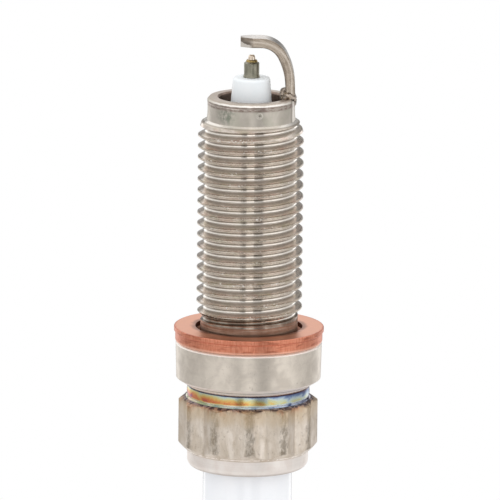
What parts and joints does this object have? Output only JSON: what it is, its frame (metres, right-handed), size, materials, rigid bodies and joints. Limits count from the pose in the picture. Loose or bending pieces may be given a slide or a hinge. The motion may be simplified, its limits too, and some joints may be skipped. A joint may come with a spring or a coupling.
{
  "type": "spark plug",
  "caption": "Long-reach spark plug with a fine threaded shell, bi-hexagon, solid copper gasket, ceramic insulator, projected fine tip and a bent ground electrode.",
  "frame": {"origin": "on the plug's axis, in the gasket's outer face, which seats on the cylinder head", "axes": "+Z along the axis towards the firing end; +X through the foot of the ground electrode; the terminal points to -Z"},
  "size_m": [0.0166, 0.0166, 0.0858],
  "materials": {
    "plated_steel": "satin nickel plate",
    "bare_steel": "bright drawn",
    "copper": "soft copper, punched and turned",
    "nickel_alloy": "drawn nickel alloy",
    "nickel_alloy_dark": "nickel alloy with a thin dull film",
    "precious_metal": "precious-metal alloy, welded",
    "alumina": "dense white alumina, glazed behind the collar",
    "talc": "pressed powder",
    "conductive_glass": "copper-filled glass",
    "resistor_mass": "carbon and glass"
  },
  "bodies": {
    "plug": {"metal_shell": "plated_steel", "ground_electrode": "nickel_alloy", "ground_electrode_core": "copper", "ground_electrode_pad": "precious_metal", "ground_electrode_weld": "nickel_alloy", "center_electrode": "nickel_alloy_dark", "center_electrode_core": "copper", "center_electrode_tip": "precious_metal", "center_tip_weld": "precious_metal", "insulator": "alumina", "lower_packing_washer": "bare_steel", "lower_packing_ring": "bare_steel", "talc_filling": "talc", "upper_packing_ring": "bare_steel", "lower_glass_seal": "conductive_glass", "suppressor_resistor": "resistor_mass", "upper_glass_seal": "conductive_glass", "terminal_stud": "bare_steel"},
    "gasket": {"sealing_gasket": "copper"},
    "terminal_nut": {"terminal_nut": "plated_steel"}
  },
  "joints": [
    {"name": "gasket_slide", "type": "slide", "parent": "plug", "child": "gasket", "axis": [0, 0, 1], "range_m": [0, 0.0018]},
    {"name": "terminal_nut_unscrew", "type": "slide", "parent": "plug", "child": "terminal_nut", "axis": [0, 0, -1], "range_m": [0, 0.0065]}
  ]
}
